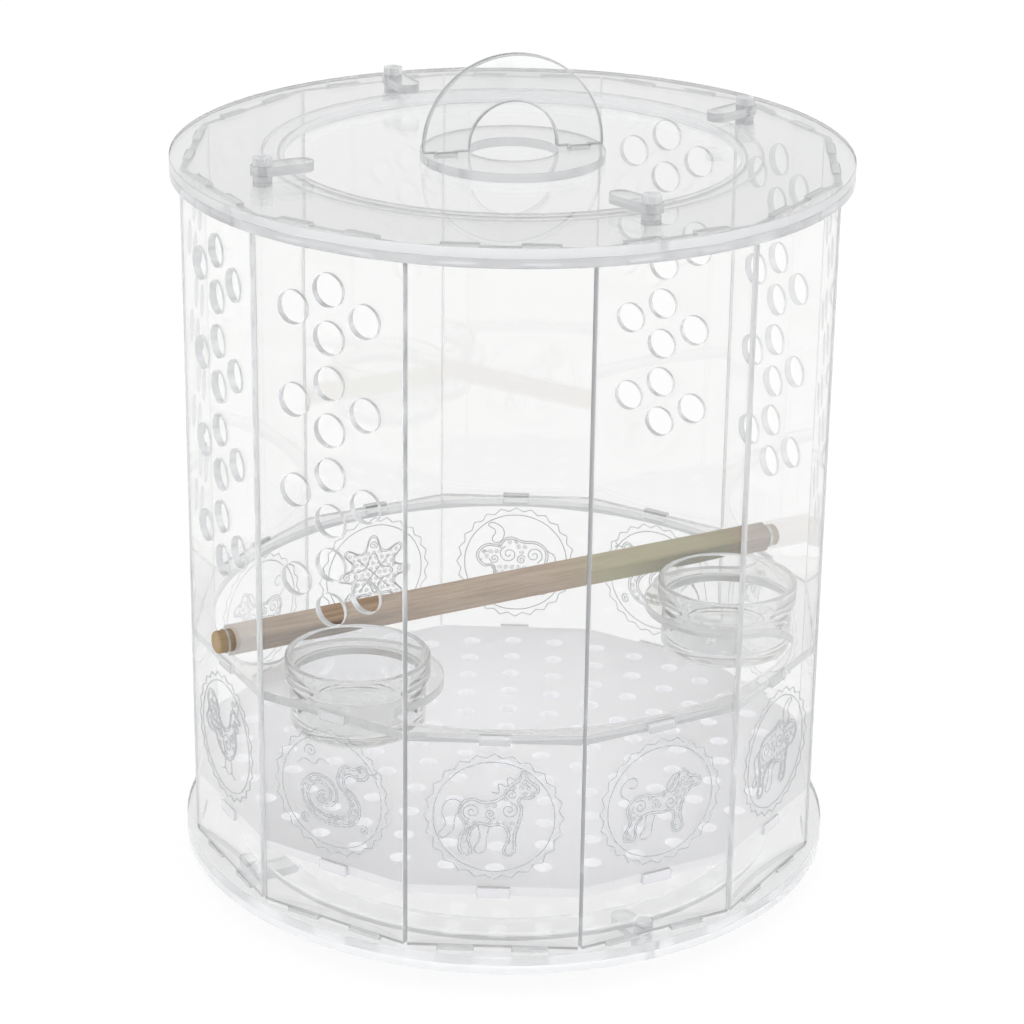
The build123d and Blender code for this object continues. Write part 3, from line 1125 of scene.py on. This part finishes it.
@dataclass
class Shelf:
    """The shelf ring with its two ears, and the bowls in them.

    The bowls' heights count from the face of the shelf that they hang on.
    """

    shop: SheetShop
    sizes: Sizes
    tab_width: float = 15.0
    inner_radius: float = 155.5
    ear_radius: float = 44.0
    ear_fillet: float = 12.0
    hole_radius: float = 35.2
    bowl_centre: float = 119.0
    bowl_azimuths: dict = field(default_factory=lambda: {"bowl_left": -127.68, "bowl_right": 7.68})
    rim_radius: float = 37.0
    body_radius: float = 34.6
    foot_radius: float = 30.0
    wall: float = 3.0
    base: float = 5.0
    rim_height: float = 12.0
    height: float = 39.5
    shoulder: float = 0.9
    hollow_radius: float = 23.0
    foot_ring_radius: float = 26.0
    foot_round: float = 1.6
    rim_round: float = 0.8
    slope_top: float = 2.0
    slope_bottom: float = -1.5

    def build(self) -> None:
        """Builds and dresses the shelf and both bowls."""
        centres = [polar(self.bowl_centre, azimuth) for azimuth in self.bowl_azimuths.values()]
        loops = [tabbed_polygon(self.sizes, self.tab_width), self.opening()]
        loops += [circle(self.hole_radius, centre, 96) for centre in centres]
        # The shelf's cut edges: grey, partly painted shade, with a faint painted glow.
        grey, pale = colour(0.70, 0.71, 0.725), colour(0.82, 0.83, 0.84)
        edge = CutEdge("shelf_edge", grey, pale, clear=0.72, painted_glow=0.08).build()
        self.shop.level("shelf_ring", loops, (SheetAcrylic("shelf_acrylic").build(), edge), Body.CAGE)
        glass = BowlGlass().build()
        for node, centre in zip(self.bowl_azimuths, centres):
            dress(self.bowl(f"{node}_glass", centre), glass, f"{node}_body", Slot.GLASS, node)

    def opening(self) -> Loop:
        """Draws the way through the shelf, around both ears.

        Returns:
            The outline.
        """
        reach = self.inner_radius - self.ear_fillet
        joined = self.ear_radius + self.ear_fillet
        cosine = (reach**2 + self.bowl_centre**2 - joined**2) / (2 * reach * self.bowl_centre)
        spread = math.degrees(math.acos(cosine))
        ears = sorted(self.bowl_azimuths.values())
        loop: Loop = []
        for index, azimuth in enumerate(ears):
            before = polar(reach, azimuth - spread)
            after = polar(reach, azimuth + spread)
            centre = polar(self.bowl_centre, azimuth)
            entry = math.degrees(math.atan2(before[1] - centre[1], before[0] - centre[0]))
            leave = math.degrees(math.atan2(after[1] - centre[1], after[0] - centre[0]))
            turn_in = (entry + 180 - (azimuth - spread)) % 360
            loop += arc(before, self.ear_fillet, azimuth - spread, azimuth - spread + turn_in, 12)
            sweep = (entry - leave) % 360
            loop += arc(centre, self.ear_radius, entry, entry - sweep, 64)[1:-1]
            loop += arc(after, self.ear_fillet, leave + 180, leave + 180 + turn_in, 12)
            following = ears[(index + 1) % len(ears)] + (360 if index + 1 == len(ears) else 0)
            loop += arc((0, 0), self.inner_radius, azimuth + spread, following - spread, 96)[1:-1]
        return loop

    def bowl(self, name: str, centre: Point) -> bpy.types.Object:
        """Turns one stepped glass bowl.

        Args:
            name: Name of the piece.
            centre: Its centre in plan.

        Returns:
            The bowl.
        """
        bottom = self.rim_height - self.height
        round_foot = self.body_radius - self.foot_radius
        lip = self.wall / 2
        gap = self.shop.gap
        inner = self.body_radius - self.wall
        profile: Loop = [(0.0, bottom + self.shoulder), (self.hollow_radius, bottom + self.shoulder)]
        profile += arc((self.foot_ring_radius, bottom + self.foot_round), self.foot_round, 250.0, 290.0, 4)
        profile += arc((self.foot_radius, bottom + round_foot), round_foot, -80.0, 0.0, 8)
        profile += [(self.body_radius, gap - self.shoulder), (self.body_radius + self.shoulder, gap)]
        profile += arc((self.rim_radius - self.rim_round, gap + self.rim_round), self.rim_round,
                       -90.0, 0.0, 4)
        profile += arc((self.rim_radius - lip, self.rim_height - lip), lip, 0.0, 180.0, 10)
        profile += [(self.rim_radius - self.wall, self.slope_top), (inner, self.slope_bottom)]
        profile += arc((inner - round_foot, bottom + self.base + round_foot), round_foot, 0.0, -90.0, 8)
        profile.append((0.0, bottom + self.base))
        return lathe(name, profile, centre, span("shelf_ring")[1], 120)


def lathe(name: str, profile: Sequence[Point], centre: Point, base: float, steps: int) -> bpy.types.Object:
    """Turns a profile about an upright axis.

    Args:
        name: Name of the piece.
        profile: Radius and height of each point in millimetres.
        centre: Place of the axis in plan.
        base: Height added to the profile.
        steps: Steps round the axis.

    Returns:
        The piece, smooth but for its sharp edges.
    """
    x, y = centre
    corners = [((x + radius) * MM, y * MM, (base + height) * MM) for radius, height in profile]
    edges = [(i, i + 1) for i in range(len(corners) - 1)]
    piece = drawn(name, corners, edges)
    axis = {"center": (x * MM, y * MM, 0.0), "axis": (0.0, 0.0, 1.0)}
    bpy.ops.mesh.spin(steps=steps, angle=math.radians(360), **axis)
    bpy.ops.mesh.select_all(action="SELECT")
    bpy.ops.mesh.remove_doubles(threshold=0.005 * MM)
    bpy.ops.mesh.normals_make_consistent(inside=False)
    bpy.ops.object.mode_set(mode="OBJECT")
    bpy.ops.object.shade_smooth_by_angle(angle=math.radians(40.0))
    return piece


@dataclass
class FloorPlate:
    """The pierced floor plate."""

    shop: SheetShop
    sizes: Sizes
    tab_width: float = 16.0
    hole_radius: float = 4.75
    pitch: float = 23.6
    rings: int = 6
    rim: float = 150.0
    tab_end: float = 0.6
    arris: float = 0.3

    def build(self) -> None:
        """Builds and dresses the floor plate."""
        loops = [tabbed_polygon(self.sizes, self.tab_width), circle(self.hole_radius, steps=24)]
        for number in range(1, self.rings + 1):
            for step in range(6 * number):
                centre = polar(number * self.pitch, 90 + 60 * step / number)
                loops.append(circle(self.hole_radius, centre, 24))
        # Painted light: the skin has a faint painted glow and the hole walls a stronger one.
        skin = FrostedAcrylic(painted_glow=0.14).build()
        walls = FrostedAcrylic("frosted_hole_wall", painted_glow=0.28).build()
        # Painted shade: the ends of the tabs, out in the walls, are painted grey.
        ends = FrostedAcrylic("frosted_tab_end", colour(0.55, 0.55, 0.57), colour(0.60, 0.60, 0.62)).build()
        plate = self.shop.level("floor_grid", loops, (skin, walls, ends), Body.CAGE, Slot.FROSTED,
                                arris=self.arris)
        for face in plate.data.polygons:
            reach = face.center.xy.length / MM
            if face.material_index and reach > self.rim:
                face.material_index = 2 if reach > self.sizes.wall_outer - self.tab_end else 0


@dataclass
class Lid:
    """The lid's plate and rim, and the handle on it."""

    shop: SheetShop
    sizes: Sizes
    plate_radius: float = 119.4
    rim_outer: float = 127.6
    rim_inner: float = 117.0
    handle_outer: float = 47.6
    handle_inner: float = 22.8
    straight: float = 2.0
    azimuth: float = 17.0
    tab_width: float = 11.0
    thickness: float = 5.0
    arch_arris: float = 0.9

    def build(self) -> None:
        """Builds and dresses the lid and its handle."""
        face = SheetAcrylic("lid_acrylic", face_tint=LEVEL_FACE).build()
        # Lid edges are pale with a painted glow, painted light; the handle base's edges are greyer, partly
        # painted shade.
        finish = (face, CutEdge("lid_edge", PALE_EDGE, WHITE_EDGE, clear=0.75, painted_glow=0.07).build())
        handle = (face, CutEdge("handle_edge", GREY_EDGE, PALE_EDGE, clear=0.72, painted_glow=0.03).build())
        slots = [self.slot(side) for side in (-1, 1)]
        plate = [circle(self.plate_radius, steps=288), *slots]
        rim = [circle(self.rim_outer, steps=288), circle(self.rim_inner, steps=288)]
        base = [circle(self.handle_outer, steps=144), circle(self.handle_inner, steps=96), *slots]
        self.shop.level("lid_plate", plate, finish, Body.LID)
        self.shop.level("lid_rim", rim, finish, Body.LID)
        self.shop.level("handle_base", base, handle, Body.LID)
        self.arch(span("handle_base")[1])

    def slot(self, side: int) -> Loop:
        """Draws the slot for one tab of the arch.

        Args:
            side: -1 or 1 for the handle's two feet.

        Returns:
            The slot's outline.
        """
        middle = side * (self.handle_outer + self.handle_inner) / 2
        extra = 2 * self.sizes.clearance
        slot = rectangle(self.tab_width + extra, self.thickness + extra, (middle, 0.0))
        return turned(slot, self.azimuth)

    def arch(self, foot: float) -> None:
        """Builds the half ring.

        Args:
            foot: Height of the face that it stands on.
        """
        gap = self.shop.gap
        middle = (self.handle_outer + self.handle_inner) / 2
        low = foot + gap
        depth = foot - 2 * self.thickness + gap
        tab_in, tab_out = middle - self.tab_width / 2, middle + self.tab_width / 2
        loop = [(self.handle_outer, low)]
        loop += arc((0.0, foot + self.straight), self.handle_outer, 0.0, 180.0, 72)
        loop += [(-self.handle_outer, low), (-tab_out, low), (-tab_out, depth), (-tab_in, depth),
                 (-tab_in, low), (-self.handle_inner, low)]
        loop += arc((0.0, foot + self.straight), self.handle_inner, 180.0, 0.0, 48)
        loop += [(self.handle_inner, low), (tab_in, low), (tab_in, depth), (tab_out, depth), (tab_out, low)]
        half = self.thickness / 2
        stand = upright(self.azimuth - 90)
        piece = self.shop.cut("handle_arch_sheet", [loop], -half, half, stand, self.arch_arris)
        # Painted shade: the arch's cut edges are dark grey for the dark bands that light leaves in them.
        grey, pale = colour(0.46, 0.47, 0.48), colour(0.72, 0.73, 0.74)
        edge = CutEdge("arch_edge", grey, pale, clear=0.85, painted_glow=0.0)
        face = SheetAcrylic("arch_acrylic", self.azimuth + 90, colour(0.95, 0.955, 0.957))
        finish = (face.build(), edge.build())
        dress(piece, finish, Body.LID, Slot.ACRYLIC, "handle_arch")


@dataclass
class Latches:
    """The eight turning latches with their screws, spacers and ridged nuts."""

    shop: SheetShop
    sizes: Sizes
    turns: tuple = (-2.0, 13.0, 16.0, -3.0)
    reach: float = 21.0
    half_width: float = 6.0
    spacer_radius: float = 5.0
    nut_radius: float = 5.0
    ridges: int = 18
    ridge_depth: float = 0.35
    paddle_arris: float = 0.3
    knob_arris: float = 0.25

    def build(self) -> None:
        """Builds and dresses every latch and its fastener."""
        face = SheetAcrylic("latch_acrylic", face_tint=colour(0.95, 0.955, 0.96)).build()
        grey, pale, white = colour(0.66, 0.67, 0.68), colour(0.86, 0.865, 0.87), colour(0.96, 0.965, 0.97)
        # Painted light on the bottom latches: their edges are paler, and they and their knobs glow more
        # than the top ones; the grey edges are partly painted shade.
        edges = {"top": CutEdge("latch_edge", grey, pale, clear=0.75, painted_glow=0.04).build(),
                 "bottom": CutEdge("bottom_latch_edge", pale, white, clear=0.6, painted_glow=0.16).build()}
        knobs = {"top": CutEdge("knob_acrylic", grey, white, clear=0.65, painted_glow=0.05).build(),
                 "bottom": CutEdge("bottom_knob_acrylic", grey, white, clear=0.65, painted_glow=0.16).build()}
        radii = {"top": self.sizes.top_latch_radius, "bottom": self.sizes.bottom_latch_radius}
        for place, radius in radii.items():
            knob = knobs[place]
            for number, azimuth in enumerate(self.sizes.latch_azimuths, start=1):
                turn = self.turns[number - 1] if place == "top" else 0.0
                self.paddle(f"{place}_latch_{number}", radius, azimuth, turn, (face, edges[place]))
            self.stack(f"{place}_latch_spacers", radius, self.spacer_radius, knob)
            self.stack(f"{place}_latch_nuts", radius, self.nut_radius, knob, self.ridges)
            paint(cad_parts[f"{place}_latch_screws"], knob)

    def paddle(self, node: str, radius: float, azimuth: float, turn: float, finish: tuple) -> None:
        """Builds one paddle.

        Args:
            node: The node that it stands for.
            radius: Radius of the screw circle.
            azimuth: Azimuth of its screw.
            turn: Degrees that it is turned from pointing at the cage's axis.
            finish: The materials of its faces and of its cut edges.
        """
        outline = arc((0.0, 0.0), self.half_width, 90.0, 270.0, 24)
        outline += arc((self.reach, 0.0), self.half_width, -90.0, 90.0, 24)
        hole = circle(self.sizes.screw_hole, steps=24)
        x, y = polar(radius, azimuth)
        loops = []
        for loop in (outline, hole):
            loops.append([(x + px, y + py) for px, py in turned(loop, azimuth + 180 + turn)])
        self.shop.level(node, loops, finish, f"{node}_body", Slot.LATCH, "paddle", self.paddle_arris)

    def stack(self, node: str, circle_radius: float, radius: float, finish: bpy.types.Material,
              ridges: int = 0) -> None:
        """Builds the four spacers or nuts of one plate as one piece.

        Args:
            node: The node that they stand for.
            circle_radius: Radius of the screw circle.
            radius: Outer radius of each.
            finish: Their material.
            ridges: Number of ridges round each, or none.
        """
        loops = []
        for azimuth in self.sizes.latch_azimuths:
            centre = polar(circle_radius, azimuth)
            if ridges:
                rim = [(centre[0] + x, centre[1] + y) for x, y in self.ridged(radius, ridges)]
            else:
                rim = circle(radius, centre, 40)
            loops += [rim, circle(self.sizes.screw_hole, centre, 24)]
        self.shop.level(node, loops, finish, Body.CAGE, Slot.LATCH, "set", self.knob_arris)

    def ridged(self, radius: float, ridges: int) -> Loop:
        """Draws a round outline with ridges for the fingers.

        Args:
            radius: Radius of the ridges' tops.
            ridges: Number of ridges.

        Returns:
            The outline.
        """
        steps = ridges * 4
        groove = self.ridge_depth / 2
        return [polar(radius - groove * (1 - math.cos(math.pi * step / 2)), 360 * step / steps)
                for step in range(steps)]


def paint(shown: bpy.types.Object, finish: bpy.types.Material) -> None:
    """Gives a node of the solid model its finish.

    Args:
        shown: The node.
        finish: Its material.
    """
    if not shown.material_slots:
        shown.data.materials.append(finish)
    for holder in shown.material_slots:
        holder.link = "OBJECT"
        holder.material = finish


@dataclass
class Perch:
    """The wooden perch."""

    azimuth: float = 30.0

    def build(self) -> None:
        """Dresses the perch."""
        paint(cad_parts["perch"], PerchWood(self.azimuth).build())


@dataclass
class Studio:
    """White floor, soft light and the camera.

    The camera is given by its distance, height and angles, as found by fitting the cage's walls.
    """

    distance: float = 1.54475
    height: float = 0.8109
    yaw: float = 0.080
    pitch: float = -21.79
    roll: float = 0.796
    turn: float = 1.718
    lens: float = 109.29
    floor_glow: float = 0.93
    inside_light: float = 1.55
    background: float = 1.06
    shade: float = 0.56
    horizon: tuple = (0.10, 0.42)
    overhead: tuple = (0.75, 0.95)
    floor_radius: float = 6.0
    floor_level: float = -0.0002

    def build(self) -> None:
        """Builds the floor, the world and the camera."""
        self.camera()
        self.floor()
        self.world()
        scene = bpy.context.scene
        scene.view_settings.view_transform = "Standard"
        scene.cycles.max_bounces = 40
        scene.cycles.transmission_bounces = 40
        scene.cycles.glossy_bounces = 12
        scene.cycles.diffuse_bounces = 3
        scene.cycles.transparent_max_bounces = 24

    def camera(self) -> None:
        """Places the camera."""
        made = bpy.data.objects.new("camera", bpy.data.cameras.new("camera"))
        bpy.context.scene.collection.objects.link(made)
        made.data.lens = self.lens
        made.data.sensor_width = 36.0
        made.data.clip_end = 50.0
        yaw, pitch, roll = (math.radians(a) for a in (self.yaw, self.pitch, self.roll))
        ahead = Vector((math.sin(yaw) * math.cos(pitch), math.cos(yaw) * math.cos(pitch), math.sin(pitch)))
        level = Vector((math.cos(yaw), -math.sin(yaw), 0.0))
        above = level.cross(ahead)
        right = level * math.cos(roll) + above * math.sin(roll)
        up = above * math.cos(roll) - level * math.sin(roll)
        stand = Matrix((right, up, -ahead)).transposed().to_4x4()
        stand.translation = (0.0, -self.distance, self.height)
        made.matrix_world = Matrix.Rotation(math.radians(self.turn), 4, "Z") @ stand
        bpy.context.scene.camera = made

    def floor(self) -> None:
        """Lays a wide white floor."""
        bpy.ops.object.select_all(action="DESELECT")
        place = (0.0, 0.0, self.floor_level)
        bpy.ops.mesh.primitive_circle_add(vertices=96, radius=self.floor_radius, fill_type="NGON",
                                          location=place)
        made = bpy.context.object
        made.name = "studio_floor"
        finish = bpy.data.materials.new("studio_floor")
        shader = Shader(finish)
        matt = shader.node("ShaderNodeBsdfDiffuse", {}, {"Color": colour(0.93, 0.93, 0.93)})
        white = shader.node("ShaderNodeEmission", {}, {"Color": colour(1.0, 1.0, 1.0), "Strength": 1.0})
        seen = self.looked_at(shader)
        surface = shader.node("ShaderNodeMixShader", {}, {0: seen * self.floor_glow, 1: matt, 2: white})
        shader.output(surface)
        made.data.materials.append(finish)

    def looked_at(self, shader: Shader) -> Wire:
        """Tells what the camera sees from light that only falls on a surface.

        Args:
            shader: The surface's node tree.

        Returns:
            1 where the camera sees the surface, straight or in glass, and 0 otherwise.
        """
        seen = shader.ray("Is Camera Ray")
        for output in ("Is Glossy Ray", "Is Transmission Ray"):
            seen = seen.most(shader.ray(output))
        return seen * (1.0 - shader.scattered())

    def world(self) -> None:
        """Lights the studio: white round the horizon and below, darker above, a soft light overhead."""
        made = bpy.data.worlds.new("studio")
        bpy.context.scene.world = made
        shader = Shader(made)
        direction = shader.node("ShaderNodeTexCoord", {}, {}, "Generated")
        height = shader.node("ShaderNodeSeparateXYZ", {}, {"Vector": direction}, "Z")
        scattered = shader.scattered()
        dim = 1.0 - height.step(*self.horizon) * self.shade + height.step(*self.overhead) * self.shade
        flat = shader.ray("Is Camera Ray").most(scattered)
        level = scattered * self.inside_light + (1.0 - scattered) * self.background
        strength = flat * level + (1.0 - flat) * dim
        values = {"Color": colour(1.0, 1.0, 1.0), "Strength": strength}
        back = shader.node("ShaderNodeBackground", {}, values)
        shader.output(back, "ShaderNodeOutputWorld")


def main() -> None:
    """Builds every sub-assembly."""
    logging.basicConfig(level=logging.INFO, format="%(message)s")
    shop = SheetShop()
    sizes = Sizes()
    for assembly in (Studio(), Walls(shop, sizes), Medallions(sizes), Plates(shop, sizes),
                     Shelf(shop, sizes), FloorPlate(shop, sizes), Lid(shop, sizes), Latches(shop, sizes),
                     Perch()):
        log.info("building %s", type(assembly).__name__)
        assembly.build()


if __name__ == "__main__":
    main()
